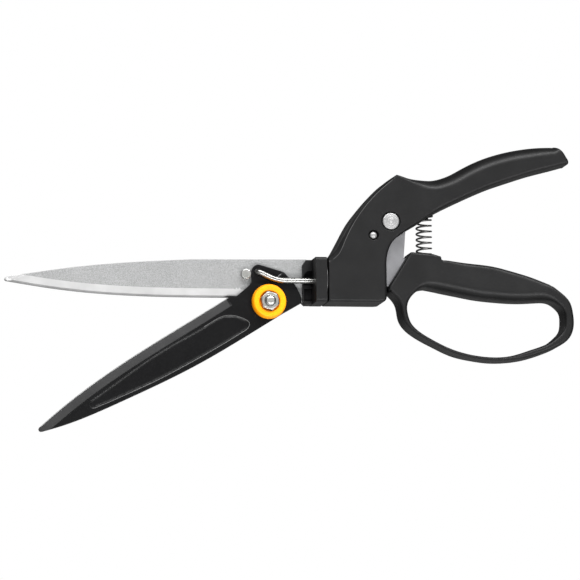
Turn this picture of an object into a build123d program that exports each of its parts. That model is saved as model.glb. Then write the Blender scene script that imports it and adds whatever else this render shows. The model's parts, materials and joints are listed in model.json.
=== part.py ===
from build123d import *
import math
import os

os.makedirs("parts", exist_ok=True)

# ---------------------------------------------------------------- driving dimensions, mm
# X runs from the blade tips to the handle ends, Z is up, the hands and blades lie in XZ.
# The zero point is at the middle of the length. Sketch heights are measured from a level a little
# over the lowest blade point, and every piece is raised by the datum when it is saved.

datum = 1.5  # height of the sketches' zero level over the lowest blade point
axis_z = 89.4  # swivel axis of the head, along X
running = 0.05  # radial clearance of a running fit
gap = 0.3  # clearance between parts that only pass each other

pivot_x = -13.3  # blade pivot
pivot_z = 76.8
blade_swing = 34.0  # degrees from open to closed
arm_height = 18.0  # hook above the blade pivot
arm_angle = 110.0  # direction of the arm from the pivot, open
hook_x = pivot_x + arm_height / math.tan(math.radians(arm_angle))
hook_z = pivot_z + arm_height
rod_travel = arm_height * (
    1 / math.tan(math.radians(arm_angle - blade_swing)) - 1 / math.tan(math.radians(arm_angle))
)

lever_x = 58.3  # rivet that the lower handle turns on
lever_z = 124.0
fork_x = 35.0  # yoke centre on the swivel axis line, open
fork_reach = math.hypot(lever_x - fork_x - rod_travel / 2, lever_z - axis_z)

fixed_front = 4.9  # distance of the fixed blade's near face behind the swivel axis
fixed_thick = 2.6
fixed_back = fixed_front + fixed_thick
moving_front = 2.1
moving_thick = 2.5
moving_back = moving_front + moving_thick

rod_radius = 1.75
case_half = 13.5  # half thickness of case and collar
wall = 2.6
grip_half = 10.0
plate_half = 1.5

block_x = 7.5  # front of the head block
collar_x = 13.0
collar_back = 19.6
collar_width = 26.8
collar_drop = 0.5  # middle of the collar under the swivel axis
case_x = 20.6  # front of the case
spigot_radius = 9.0
spigot_end = 28.6


def depth_plane(y):
    """Sketch plane parallel to the blades at distance y behind the swivel axis."""
    return Plane.XZ.offset(-y)


def along_plane(x):
    """Sketch plane square to the swivel axis at the given x, local y up."""
    return Plane(origin=(x, 0, axis_z), x_dir=(0, 1, 0), z_dir=(1, 0, 0))


def save(piece, label):
    piece.part.label = label
    export_step(piece.part.moved(Location((0, 0, datum))), "parts/" + label + ".step")


# ---------------------------------------------------------------- fixed blade
blade_tip = (-169.6, 88.4)
root_low = (-2.8, 71.0)
stop_x = -26.4  # stop pin of the moving blade's arm
stop_z = 93.5
stop_radius = 3.0
stop_shank = 1.9
tang_rivet_x = 10.9
tang_rivets_z = (82.0, 96.6)
tang_rivet_radius = 1.5
tang_rivet_near = 5.3

with BuildPart() as fixed_blade:
    with BuildSketch(depth_plane(fixed_back)):
        with BuildLine():
            back = Spline(
                blade_tip, (-160.6, 91.9), (-136.6, 95.7), (-100.6, 99.5), (-58.6, 102.2)
            )
            root_top = (block_x + 2.6, 102.8)
            Line(back @ 1, root_top)
            Polyline(root_top, (block_x + 2.6, 99.6), (18.2, 98.6), (18.2, 80.6), (block_x, 79.0))
            Polyline((block_x, 79.0), (block_x, 76.9), root_low)
            ThreePointArc(root_low, (-13.0, 67.6), (-22.6, 71.8))
            Line((-22.6, 71.8), (-31.0, 79.6))
            Line((-31.0, 79.6), (-58.6, 79.6))
            Spline((-58.6, 79.6), (-100.6, 80.4), (-136.6, 83.3), (-160.6, 86.6), blade_tip)
        make_face()
    extrude(amount=fixed_thick)
    with BuildSketch(depth_plane(fixed_back)):
        with Locations((pivot_x, pivot_z)):
            Circle(3.0 + running)
        with Locations((stop_x, stop_z)):
            Circle(stop_shank)
        with Locations([(tang_rivet_x, rivet_z) for rivet_z in tang_rivets_z]):
            Circle(tang_rivet_radius)
    extrude(amount=fixed_thick, mode=Mode.SUBTRACT)

# ---------------------------------------------------------------- stop pin of the moving blade
with BuildPart() as stop_pin:
    with BuildSketch(depth_plane(fixed_front)):
        with Locations((stop_x, stop_z)):
            Circle(stop_radius)
    extrude(amount=3.0)
    chamfer(stop_pin.edges().group_by(Axis.Y)[0], length=0.3)
    with BuildSketch(depth_plane(fixed_back + 0.8)):
        with Locations((stop_x, stop_z)):
            Circle(stop_shank)
    extrude(amount=fixed_thick + 0.8)
    with BuildSketch(depth_plane(fixed_back + 0.8)):
        with Locations((stop_x, stop_z)):
            Circle(stop_shank + 0.8)
    extrude(amount=0.8)

# ---------------------------------------------------------------- moving blade
hook_clearance = 0.25
# the hook's distance from the pivot changes as the blade turns, so its hole is a slot along the arm
hook_far = arm_height / math.sin(math.radians(arm_angle))
arm_slot = hook_far - arm_height + 0.2
slot_reach = (hook_far + arm_height) / 2
slot_at = (
    pivot_x + slot_reach * math.cos(math.radians(arm_angle)),
    pivot_z + slot_reach * math.sin(math.radians(arm_angle)),
)
bush_radius = 4.5
arm_x = -23.1  # left side of the arm

with BuildPart() as moving_blade:
    with BuildSketch(depth_plane(moving_back)):
        with BuildLine():
            tip_top = (-150.2, 1.3)
            tip_low = (-150.0, -1.4)
            edge_end = (-37.6, 79.2)
            Spline(tip_top, (-137.9, 12.0), (-101.9, 38.7), (-53.9, 69.0), edge_end)
            Polyline(edge_end, (-36.4, 80.1), (-32.5, 80.0), (-25.1, 86.2), (arm_x, 88.6), (arm_x, 94.9))
            ThreePointArc((arm_x, 94.9), (-21.7, 98.0), (-18.0, 99.1))
            Polyline((-18.0, 99.1), (-4.0, 94.9), (-1.0, 91.8))
            ThreePointArc((-1.0, 91.8), (3.3, 86.5), (6.7, 79.2))
            Polyline((6.7, 79.2), (6.7, 76.4), (-3.2, 70.8))
            Spline((-3.2, 70.8), (-29.9, 54.3), (-53.9, 40.2), (-101.9, 16.6), (-137.9, 1.8), tip_low)
            Line(tip_low, tip_top)
        make_face()
    extrude(amount=moving_thick)
    with BuildSketch(depth_plane(moving_front)):
        with BuildLine():
            Spline((-120.1, 12.8), (-85.1, 41.2), (-46.1, 64.6))
            Spline((-46.1, 64.6), (-39.1, 67.4), (-30.6, 66.6), (-25.7, 62.8), (-33.9, 55.3))
            Spline((-33.9, 55.3), (-59.1, 40.0), (-85.1, 26.2), (-120.1, 12.8))
        make_face()
    extrude(amount=0.5)
    with BuildSketch(depth_plane(moving_back)):
        with Locations((pivot_x, pivot_z)):
            Circle(bush_radius + running)
        with Locations(Location(slot_at, arm_angle)):
            SlotCenterToCenter(arm_slot, 2 * (rod_radius + hook_clearance))
    extrude(amount=moving_thick + 1, mode=Mode.SUBTRACT)

# ---------------------------------------------------------------- blade pivot
disc_radius = 10.3
disc_back = 1.8
disc_front = -3.7
nut_seat = -0.9

with BuildPart() as pivot_disc:
    with BuildSketch(depth_plane(disc_back)):
        with Locations((pivot_x, pivot_z)):
            Circle(disc_radius)
    extrude(amount=disc_back - disc_front)
    chamfer(pivot_disc.edges().group_by(Axis.Y)[0], length=0.9)
    with BuildSketch(depth_plane(nut_seat)):
        with Locations((pivot_x, pivot_z)):
            Circle(6.1)
    extrude(amount=nut_seat - disc_front, mode=Mode.SUBTRACT)
    with BuildSketch(depth_plane(disc_back)):
        with Locations((pivot_x, pivot_z)):
            Circle(3.0 + running)
    extrude(amount=disc_back - nut_seat, mode=Mode.SUBTRACT)

with BuildPart() as pivot_nut:
    with BuildSketch(depth_plane(nut_seat)):
        with Locations((pivot_x, pivot_z)):
            RegularPolygon(5.0, 6, major_radius=False, rotation=8)
    extrude(amount=4.6)
    with BuildSketch(depth_plane(nut_seat)):
        with Locations((pivot_x, pivot_z)):
            Circle(5.55)
    extrude(amount=4.6, taper=7, mode=Mode.INTERSECT)
    with BuildSketch(depth_plane(nut_seat)):
        with Locations((pivot_x, pivot_z)):
            Circle(3.0)
    extrude(amount=4.6, mode=Mode.SUBTRACT)

bolt_end = nut_seat - 4.6 - 1.6

with BuildPart() as pivot_bolt:
    with BuildSketch(depth_plane(fixed_back + 3.6)):
        with Locations((pivot_x, pivot_z)):
            RegularPolygon(5.0, 6, major_radius=False)
    extrude(amount=3.6)
    with BuildSketch(depth_plane(fixed_back)):
        with Locations((pivot_x, pivot_z)):
            Circle(3.0)
    extrude(amount=fixed_back - bolt_end)
    chamfer(pivot_bolt.edges().group_by(Axis.Y)[0], length=0.5)

with BuildPart() as pivot_bush:
    with BuildSketch(depth_plane(fixed_front)):
        with Locations((pivot_x, pivot_z)):
            Circle(bush_radius)
            Circle(3.0, mode=Mode.SUBTRACT)
    extrude(amount=fixed_front - disc_back)

# ---------------------------------------------------------------- swivel head
block_near = 1.9
arch_left = 8.3
arch_top = axis_z + 6.2
arch_round = 3.4
arch_floor = 4.4
pocket_left = 8.2
pocket_low = 77.4
pocket_top = 85.0
block_low = 75.8
block_top = 102.1

with BuildPart() as tang_rivets:
    for rivet_z in tang_rivets_z:
        with BuildSketch(depth_plane(case_half)):
            with Locations((tang_rivet_x, rivet_z)):
                Circle(tang_rivet_radius)
        extrude(amount=case_half - tang_rivet_near)
        with BuildSketch(depth_plane(case_half)):
            with Locations((tang_rivet_x, rivet_z)):
                Circle(2.6)
        extrude(amount=1.0)

with BuildPart() as swivel_head:
    with BuildSketch(depth_plane(case_half)):
        with BuildLine():
            Polyline(
                (collar_x, block_low),
                (block_x + 2.0, block_low),
                (block_x, block_low + 2.0),
                (block_x, block_top - 3.0),
                (block_x + 2.2, block_top),
                (collar_x, block_top),
                (collar_x, block_low),
            )
        make_face()
    extrude(amount=case_half - block_near)
    # arched pocket over the rod
    with BuildSketch(depth_plane(arch_floor)):
        with BuildLine():
            Polyline((arch_left, axis_z - 2.4), (collar_x, axis_z - 2.4), (collar_x, arch_top))
            Line((collar_x, arch_top), (arch_left + arch_round, arch_top))
            RadiusArc(
                (arch_left + arch_round, arch_top), (arch_left, arch_top - arch_round), -arch_round
            )
            Line((arch_left, arch_top - arch_round), (arch_left, axis_z - 2.4))
        make_face()
    extrude(amount=arch_floor, mode=Mode.SUBTRACT)
    # square pocket under it
    with BuildSketch(depth_plane(arch_floor)):
        with BuildLine():
            Polyline(
                (pocket_left, pocket_low),
                (pocket_left, pocket_top),
                (collar_x, pocket_top),
                (collar_x, pocket_low),
                (pocket_left, pocket_low),
            )
        make_face()
    extrude(amount=arch_floor, mode=Mode.SUBTRACT)
    with BuildSketch(along_plane(collar_x)):
        with Locations((0, -collar_drop)):
            RectangleRounded(collar_width, collar_width, 2.0)
    extrude(amount=collar_back - collar_x)
    with BuildSketch(along_plane(collar_back)):
        Circle(spigot_radius)
    extrude(amount=spigot_end - collar_back)
    with BuildSketch(along_plane(26.0)):
        Circle(spigot_radius)
        Circle(spigot_radius - 1.2, mode=Mode.SUBTRACT)
    extrude(amount=1.2, mode=Mode.SUBTRACT)
    with BuildSketch(along_plane(block_x)):
        Circle(rod_radius + 0.25)
    extrude(amount=spigot_end - block_x, mode=Mode.SUBTRACT)
    add(fixed_blade.part, mode=Mode.SUBTRACT)
    add(tang_rivets.part, mode=Mode.SUBTRACT)

with BuildPart() as head_ring:
    with BuildSketch(along_plane(26.05)):
        Circle(spigot_radius + 1.8)
        Circle(spigot_radius - 1.15, mode=Mode.SUBTRACT)
    extrude(amount=1.1)

with BuildPart() as head_washer:
    with BuildSketch(along_plane(collar_back)):
        Circle(spigot_radius + 3.0)
        Circle(spigot_radius + 0.2, mode=Mode.SUBTRACT)
    extrude(amount=0.7)

# ---------------------------------------------------------------- pull rod and spool
spool_half = 3.5  # half of the groove between the flanges
flange = 1.5
rod_end = fork_x + spool_half + flange + 1.6
bend_x = -8.2

with BuildPart() as pull_rod:
    run = Vector(bend_x - hook_x, 0, axis_z - hook_z).normalized()
    elbow = Vector(hook_x, 0, hook_z)
    bend = Vector(bend_x, 0, axis_z)
    with BuildLine():
        start = Line((hook_x, 4.4, hook_z), elbow + Vector(0, 2.2, 0))
        turn = Bezier(start @ 1, elbow, elbow + run * 2.2)
        shank = Line(turn @ 1, bend - run * 5)
        ease = Bezier(shank @ 1, bend, bend + Vector(5, 0, 0))
        Line(ease @ 1, (rod_end, 0, axis_z))
    with BuildSketch(Plane(origin=start @ 0, z_dir=(0, -1, 0))):
        Circle(rod_radius)
    sweep()

with BuildPart() as rod_spool:
    with BuildSketch(along_plane(fork_x - spool_half - flange)):
        Circle(2.8)
    extrude(amount=2 * (spool_half + flange))
    for side_x in (fork_x - spool_half - flange, fork_x + spool_half):
        with BuildSketch(along_plane(side_x)):
            Circle(5.5)
        extrude(amount=flange)
    with BuildSketch(along_plane(fork_x - spool_half - flange)):
        Circle(rod_radius)
    extrude(amount=2 * (spool_half + flange), mode=Mode.SUBTRACT)

with BuildPart() as rod_clip:
    with BuildSketch(along_plane(fork_x + spool_half + flange)):
        Circle(3.2)
        Circle(rod_radius, mode=Mode.SUBTRACT)
    extrude(amount=0.8)

# ---------------------------------------------------------------- spring and its upper seat
spring_x = 80.4
spring_low = 105.6
seat_z = 129.4
seat_thick = 0.9
spring_top = seat_z - seat_thick
coil_radius = 4.4
wire = 0.55
spring_pitch = 3.4

with BuildPart() as spring_seat:
    with BuildSketch(Plane.XY.offset(spring_top)):
        with Locations((spring_x, 0)):
            Circle(5.6)
    extrude(amount=seat_thick)
    with BuildSketch(Plane.XY.offset(spring_top - 2.2)):
        with Locations((spring_x, 0)):
            Circle(2.8)
    extrude(amount=2.2)
    with BuildSketch(Plane.XY.offset(seat_z)):
        with Locations((spring_x, 0)):
            Circle(2.0)
    extrude(amount=3.6)

with BuildPart() as return_spring:
    with BuildLine():
        coil = Helix(
            spring_pitch,
            spring_top - spring_low - 2 * wire - 0.2,
            coil_radius,
            center=(spring_x, 0, spring_low + wire + 0.1),
        )
    with BuildSketch(Plane(origin=coil @ 0, z_dir=coil % 0)):
        Circle(wire)
    sweep()

# ---------------------------------------------------------------- case and upper handle
case_back = 55.5
case_low = 75.6
case_round = 2.2
slot_half = 2.1  # half width of the slot the lever plate swings in

# stations along the upper handle: x, top, bottom, full width, corner radius
handle_stations = (
    (58.0, 148.4, 114.0, 26.4, 3.0),
    (66.0, 151.6, 117.6, 26.8, 4.2),
    (78.0, 149.5, 124.8, 26.2, 7.0),
    (90.0, 151.1, 131.7, 25.4, 8.4),
    (102.0, 156.7, 138.0, 24.6, 8.4),
    (114.0, 162.4, 143.4, 23.8, 8.4),
    (126.0, 166.6, 148.0, 23.0, 8.2),
    (138.8, 169.3, 151.9, 22.2, 7.6),
    (150.8, 170.7, 155.8, 21.0, 6.6),
    (159.7, 170.6, 157.6, 18.6, 5.6),
    (164.7, 168.3, 158.8, 14.0, 3.9),
    (167.3, 164.9, 160.3, 6.0, 1.5),
)


def handle_section(station, inset):
    """Rounded section of the upper handle, inset by a wall all round."""
    x, top, bottom, width, corner = station
    middle = (top + bottom) / 2
    with BuildSketch(Plane(origin=(x, 0, middle), x_dir=(0, 1, 0), z_dir=(1, 0, 0))) as section:
        RectangleRounded(
            width - 2 * inset, top - bottom - 2 * inset, max(corner - inset, 0.8)
        )
    return section.sketch


def case_outline(inset):
    """Closed outline of the case, inset by a wall all round."""
    front = case_x + inset
    low = case_low + inset
    rear = case_back - inset
    slope = Spline(
        (front, 103.0 - inset),
        (30.0 + 0.8 * inset, 114.9 - 0.5 * inset),
        (45.0 + 0.6 * inset, 136.9 - 0.8 * inset),
        (66.0, 151.8 - inset),
        tangents=[(0.72, 1), (1, 0.25)],
    )
    heel = Spline(
        (67.0, 118.2 + 0.7 * inset),
        (60.0 - 0.5 * inset, 112.2 + 0.6 * inset),
        (rear, 98.0),
        tangents=[(-0.8, -0.6), (0, -1)],
    )
    Line((front, low), slope @ 0)
    Polyline(slope @ 1, (67.0, 151.9 - inset), heel @ 0)
    Line(heel @ 1, (rear, low + 3))
    RadiusArc((rear, low + 3), (rear - 3, low), 3)
    Line((rear - 3, low), (front, low))


with BuildPart() as case_form:
    with BuildSketch(depth_plane(case_half)):
        with BuildLine():
            case_outline(0)
        make_face()
    extrude(amount=2 * case_half)
    rims = case_form.edges().filter_by(lambda e: abs(e.center().Y) > case_half - 0.1)
    fillet(rims.filter_by(lambda e: e.center().X < 66.0), radius=case_round)
    loft([handle_section(station, 0) for station in handle_stations])

with BuildPart() as case_core:
    with BuildSketch(depth_plane(case_half - wall)):
        with BuildLine():
            case_outline(wall)
        make_face()
    extrude(amount=2 * (case_half - wall))
    loft([handle_section(station, wall) for station in handle_stations[:-2]])

# round features that cross the case: centre x, z, boss radius
lever_boss = 7.0
stop_hole_x = 47.8  # small rivet that limits the lever's travel
stop_hole_z = 115.6
stop_reach = math.dist((stop_hole_x, stop_hole_z), (lever_x, lever_z))
stop_rivet_radius = 1.9
# screws that join the halves: x, z, distance of the far surface from the middle
screw_places = (
    (32.4, 79.2, 13.5),
    (51.0, 79.2, 13.5),
    (46.5, 133.5, 13.5),
    (88.0, 141.4, 12.7),
    (118.0, 154.8, 11.8),
    (148.0, 162.4, 10.6),
)
screw_radius = 1.5
screw_boss = 3.0
ring_x = 24.2  # swivel bearing, sits in the front wall
bearing_wall = 1.6
bearing_radius = spigot_radius + running + bearing_wall

boss_top = 134.6  # boss over the return spring

with BuildPart() as bosses:
    for x, z, surface in screw_places:
        with BuildSketch(depth_plane(case_half - 1)):
            with Locations((x, z)):
                Circle(screw_boss)
        extrude(amount=2 * (case_half - 1))
    for x, z, boss in ((lever_x, lever_z, lever_boss), (stop_hole_x, stop_hole_z, 4.0)):
        for near_y in (case_half - 1, -plate_half - gap):
            with BuildSketch(depth_plane(near_y)):
                with Locations((x, z)):
                    Circle(boss)
            extrude(amount=case_half - 1 - plate_half - gap)
    add(case_form.part, mode=Mode.INTERSECT)

with BuildPart() as case_whole:
    add(case_form.part)
    add(case_core.part, mode=Mode.SUBTRACT)
    add(bosses.part)
    # flat boss that takes the spring's upper seat
    with BuildSketch(Plane.XY.offset(seat_z)):
        with Locations((spring_x, 0)):
            Circle(6.2)
    extrude(amount=boss_top - seat_z)
    with BuildSketch(Plane.XY.offset(seat_z - 9)):
        with Locations((spring_x, 0)):
            Circle(6.2)
    extrude(amount=9, mode=Mode.SUBTRACT)
    add(spring_seat.part, mode=Mode.SUBTRACT)
    # front wall with the bearing bore
    with BuildSketch(along_plane(case_x)):
        Rectangle(2 * case_half - 1, 26.0)
    extrude(amount=ring_x - case_x)
    with BuildSketch(along_plane(case_x)):
        Circle(bearing_radius)
    extrude(amount=ring_x - case_x, mode=Mode.SUBTRACT)
    # slot for the lever plate, through the rear wall and the handle's underside
    with BuildSketch(depth_plane(slot_half)):
        with BuildLine():
            Polyline(
                (52.0, 84.0), (58.0, 84.0), (62.0, 100.0), (72.6, 112.0), (72.6, 125.5), (64.0, 124.0),
                (52.0, 118.0), (52.0, 84.0),
            )
        make_face()
    extrude(amount=2 * slot_half, mode=Mode.SUBTRACT)
    # holes for the two rivets and their heads
    for side in (-1, 1):
        for x, z, shank, recess, floor_y in (
            (lever_x, lever_z, 3.0 + running, 5.6, 12.3),
            (stop_hole_x, stop_hole_z, stop_rivet_radius, 2.9, 11.9),
        ):
            with BuildSketch(depth_plane(max(side, 0) * (case_half + 1))):
                with Locations((x, z)):
                    Circle(shank)
            extrude(amount=case_half + 1, mode=Mode.SUBTRACT)
            with BuildSketch(depth_plane(case_half + 1 if side > 0 else -floor_y)):
                with Locations((x, z)):
                    Circle(recess)
            extrude(amount=case_half + 1 - floor_y, mode=Mode.SUBTRACT)

screw_head = 2.7
screw_sink = 2.2

with BuildPart() as case_screws:
    for x, z, surface in screw_places:
        with BuildSketch(depth_plane(surface - 0.4)):
            with Locations((x, z)):
                Circle(screw_head - 0.1)
        extrude(amount=screw_sink - 0.4)
        with BuildSketch(depth_plane(surface - screw_sink)):
            with Locations((x, z)):
                Circle(screw_radius)
        extrude(amount=surface - screw_sink + 8.0)

with BuildPart() as screw_holes:
    for x, z, surface in screw_places:
        with BuildSketch(depth_plane(surface + 3)):
            with Locations((x, z)):
                Circle(screw_head)
        extrude(amount=screw_sink + 3)
        with BuildSketch(depth_plane(surface - screw_sink)):
            with Locations((x, z)):
                Circle(screw_radius)
        extrude(amount=surface - screw_sink + 8.0)

with BuildPart() as case_near:
    add(case_whole.part)
    split(bisect_by=Plane.XZ, keep=Keep.TOP)
    add(screw_holes.part, mode=Mode.SUBTRACT)

with BuildPart() as case_far:
    add(case_whole.part)
    split(bisect_by=Plane.XZ, keep=Keep.BOTTOM)
    add(screw_holes.part, mode=Mode.SUBTRACT)

with BuildPart() as swivel_bearing:
    with BuildSketch(along_plane(case_x)):
        Circle(bearing_radius)
        Circle(spigot_radius + running, mode=Mode.SUBTRACT)
    extrude(amount=ring_x - case_x + 0.8)

# ---------------------------------------------------------------- rivets through the case
with BuildPart() as lever_rivet:
    with BuildSketch(depth_plane(case_half)):
        with Locations((lever_x, lever_z)):
            Circle(5.2)
    extrude(amount=case_half - 12.3)
    with BuildSketch(depth_plane(-12.3)):
        with Locations((lever_x, lever_z)):
            Circle(5.2)
    extrude(amount=case_half - 12.3)
    with BuildSketch(depth_plane(12.4)):
        with Locations((lever_x, lever_z)):
            Circle(3.0)
    extrude(amount=24.8)

with BuildPart() as lever_bush:
    with BuildSketch(depth_plane(plate_half + gap - 0.02)):
        with Locations((lever_x, lever_z)):
            Circle(4.5)
            Circle(3.0, mode=Mode.SUBTRACT)
    extrude(amount=2 * (plate_half + gap - 0.02))

with BuildPart() as stop_rivet:
    with BuildSketch(depth_plane(12.0)):
        with Locations((stop_hole_x, stop_hole_z)):
            Circle(stop_rivet_radius)
    extrude(amount=24.0)
    for head_y in (12.7, -11.9):
        with BuildSketch(depth_plane(head_y)):
            with Locations((stop_hole_x, stop_hole_z)):
                Circle(2.3)
        extrude(amount=0.8)

# ---------------------------------------------------------------- lever plate and yoke
lean = math.degrees(math.atan2(lever_x - fork_x - rod_travel / 2, lever_z - axis_z))
level_reach = fork_reach * math.cos(math.radians(lean))
lever_swing = 2 * math.degrees(math.asin(rod_travel / 2 / level_reach))
fork_angle = 270.0 - lean - lever_swing / 2
fork_z = lever_z + fork_reach * math.sin(math.radians(fork_angle))
fork_at_x = lever_x + fork_reach * math.cos(math.radians(fork_angle))
stop_angle = math.degrees(math.atan2(stop_hole_z - lever_z, stop_hole_x - lever_x)) % 360
yoke_lean = math.radians(90.0 - lever_swing / 2)
yoke_inner = 3.2  # the yoke's cheeks pass the spool's core at this distance
yoke_outer = 5.6
yoke_shoulder = 9.5  # above the fork centre, clears the spool's flanges when the yoke tilts
yoke_top = 15.0


def on_yoke(height, side=0.0):
    """Point at a height over the fork centre, measured along the yoke."""
    c = math.cos(yoke_lean)
    s = math.sin(yoke_lean)
    return (fork_at_x + height * c + side * s, fork_z + height * s - side * c)


with BuildPart() as yoke_pin:
    with BuildSketch(depth_plane(yoke_outer)):
        with Locations(on_yoke(12.0)):
            Circle(1.25)
    extrude(amount=2 * yoke_outer)

with BuildPart() as grip_rivets:
    for rivet_x, rivet_z in ((73.5, 95.4), (85.5, 92.6)):
        with BuildSketch(depth_plane(8.6)):
            with Locations((rivet_x, rivet_z)):
                Circle(1.6)
        extrude(amount=17.2)

with BuildPart() as lever_plate:
    with BuildSketch(depth_plane(plate_half)):
        with Locations((lever_x, lever_z)):
            Circle(9.6)
        with BuildLine():
            Polyline(
                (52.2, 131.5), (42.6, 127.0), (38.6, 119.0), on_yoke(yoke_top + 0.2, -3.4),
                on_yoke(yoke_shoulder + 0.2, -2.9), on_yoke(yoke_shoulder + 0.2, 2.9), (46.5, 106.0),
                (52.0, 108.4), (57.4, 105.5), (57.4, 86.6), (61.0, 84.6),
                (70.0, 91.0), (90.0, 88.6), (91.5, 94.4), (76.0, 100.6), (67.8, 103.2), (69.0, 119.0),
                (66.6, 127.6), (52.2, 131.5),
            )
        make_face()
        with Locations((lever_x, lever_z)):
            Circle(4.5 + running, mode=Mode.SUBTRACT)
    extrude(amount=2 * plate_half)
    # arc slot round the small rivet, as long as the lever's travel
    slot_radius = stop_rivet_radius + gap
    slot_start = stop_angle - lever_swing
    with BuildSketch(depth_plane(plate_half)):
        with BuildLine():
            CenterArc((lever_x, lever_z), stop_reach, slot_start, lever_swing)
        trace(line_width=2 * slot_radius)
        for angle in (slot_start, stop_angle):
            turn_to = math.radians(angle)
            with Locations(
                (
                    lever_x + stop_reach * math.cos(turn_to),
                    lever_z + stop_reach * math.sin(turn_to),
                )
            ):
                Circle(slot_radius)
    extrude(amount=2 * plate_half, mode=Mode.SUBTRACT)
    add(yoke_pin.part, mode=Mode.SUBTRACT)
    add(grip_rivets.part, mode=Mode.SUBTRACT)

with BuildPart() as lever_yoke:
    with BuildSketch(depth_plane(yoke_outer)):
        with Locations((fork_at_x, fork_z)):
            Circle(3.0)
        with BuildLine():
            Polyline(
                on_yoke(0, -2.0), on_yoke(yoke_shoulder, -2.0), on_yoke(yoke_shoulder, -2.9),
                on_yoke(yoke_top, -2.9), on_yoke(yoke_top, 2.9), on_yoke(yoke_shoulder, 2.9),
                on_yoke(yoke_shoulder, 2.0), on_yoke(0, 2.0), on_yoke(0, -2.0),
            )
        make_face()
    extrude(amount=2 * yoke_outer)
    with BuildSketch(depth_plane(yoke_inner)):
        with BuildLine():
            Polyline(
                on_yoke(-4, -4), on_yoke(yoke_shoulder, -4), on_yoke(yoke_shoulder, 4), on_yoke(-4, 4),
                on_yoke(-4, -4)
            )
        make_face()
    extrude(amount=2 * yoke_inner, mode=Mode.SUBTRACT)
    add(lever_plate.part, mode=Mode.SUBTRACT)
    add(yoke_pin.part, mode=Mode.SUBTRACT)

# ---------------------------------------------------------------- finger loop
# stations along the loop's upper bar: x, top, bottom, full width, corner radius
bar_stations = (
    (70.0, 106.4, 83.7, 19.0, 4.5),
    (78.0, 106.7, 84.7, 19.6, 6.0),
    (86.0, 104.8, 84.1, 20.0, 7.0),
    (92.0, 101.6, 82.6, 20.0, 7.4),
    (102.0, 100.8, 80.5, 20.0, 7.6),
    (114.0, 99.1, 78.3, 20.0, 7.6),
    (126.0, 96.6, 77.5, 20.0, 7.4),
    (138.0, 93.3, 77.2, 20.0, 6.6),
    (148.0, 90.0, 76.8, 19.8, 5.6),
    (156.0, 86.4, 75.4, 19.4, 4.6),
)
strap_half = 10.0

with BuildPart() as loop_grip:
    # strap round the fingers, the two outlines give its changing thickness
    with BuildSketch(depth_plane(strap_half)):
        with BuildLine():
            outer = Spline(
                (153.0, 87.9),
                (162.1, 82.6),
                (168.9, 74.2),
                (170.3, 65.2),
                (167.5, 56.8),
                (161.0, 50.8),
                (146.0, 44.7),
                (128.0, 41.3),
                (110.0, 42.3),
                (92.0, 47.9),
                (76.0, 56.4),
                (66.9, 64.2),
                (64.1, 72.6),
                (60.3, 79.8),
                (56.6, 83.2),
            )
            Line(outer @ 1, (66.0, 98.4))
            Line((66.0, 98.4), (69.9, 105.0))
            Line((69.9, 105.0), (78.0, 104.0))
            Line((78.0, 104.0), (80.1, 86.0))
            inner = Spline(
                (80.1, 86.0),
                (73.4, 81.8),
                (68.7, 76.2),
                (69.1, 67.6),
                (76.1, 58.6),
                (93.8, 49.0),
                (111.8, 44.6),
                (128.8, 44.5),
                (144.8, 48.2),
                (155.8, 53.8),
                (162.4, 61.0),
                (163.4, 68.0),
                (159.8, 75.0),
                (153.8, 78.4),
            )
            Line(inner @ 1, outer @ 0)
        make_face()
    extrude(amount=2 * strap_half)
    rims = loop_grip.edges().filter_by(lambda e: abs(e.center().Y) > strap_half - 0.1)
    fillet(rims.filter_by(lambda e: e.length > 50), radius=0.6)
    loft([handle_section(station, 0) for station in bar_stations])
    add(lever_plate.part, mode=Mode.SUBTRACT)
    add(grip_rivets.part, mode=Mode.SUBTRACT)
    # shallow round seat for the spring
    with BuildSketch(Plane.XY.offset(spring_low)):
        with Locations((spring_x, 0)):
            Circle(5.4)
    extrude(amount=3.0, mode=Mode.SUBTRACT)
    with BuildSketch(Plane.XY.offset(spring_low - 1.0)):
        with Locations((spring_x, 0)):
            Circle(3.0)
    extrude(amount=3.0)


pieces = {
    "fixed_blade": fixed_blade,
    "stop_pin": stop_pin,
    "swivel_head": swivel_head,
    "tang_rivets": tang_rivets,
    "head_ring": head_ring,
    "head_washer": head_washer,
    "pivot_bolt": pivot_bolt,
    "pivot_nut": pivot_nut,
    "pivot_disc": pivot_disc,
    "pivot_bush": pivot_bush,
    "moving_blade": moving_blade,
    "pull_rod": pull_rod,
    "rod_spool": rod_spool,
    "rod_clip": rod_clip,
    "case_near": case_near,
    "case_far": case_far,
    "case_screws": case_screws,
    "swivel_bearing": swivel_bearing,
    "lever_rivet": lever_rivet,
    "lever_bush": lever_bush,
    "stop_rivet": stop_rivet,
    "spring_seat": spring_seat,
    "lever_plate": lever_plate,
    "lever_yoke": lever_yoke,
    "yoke_pin": yoke_pin,
    "loop_grip": loop_grip,
    "grip_rivets": grip_rivets,
    "return_spring": return_spring,
}
for label, piece in pieces.items():
    save(piece, label)
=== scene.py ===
import json
import math

import bmesh
import bpy
import numpy as np
from mathutils import Matrix, Vector
from mathutils.geometry import delaunay_2d_cdt


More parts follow.
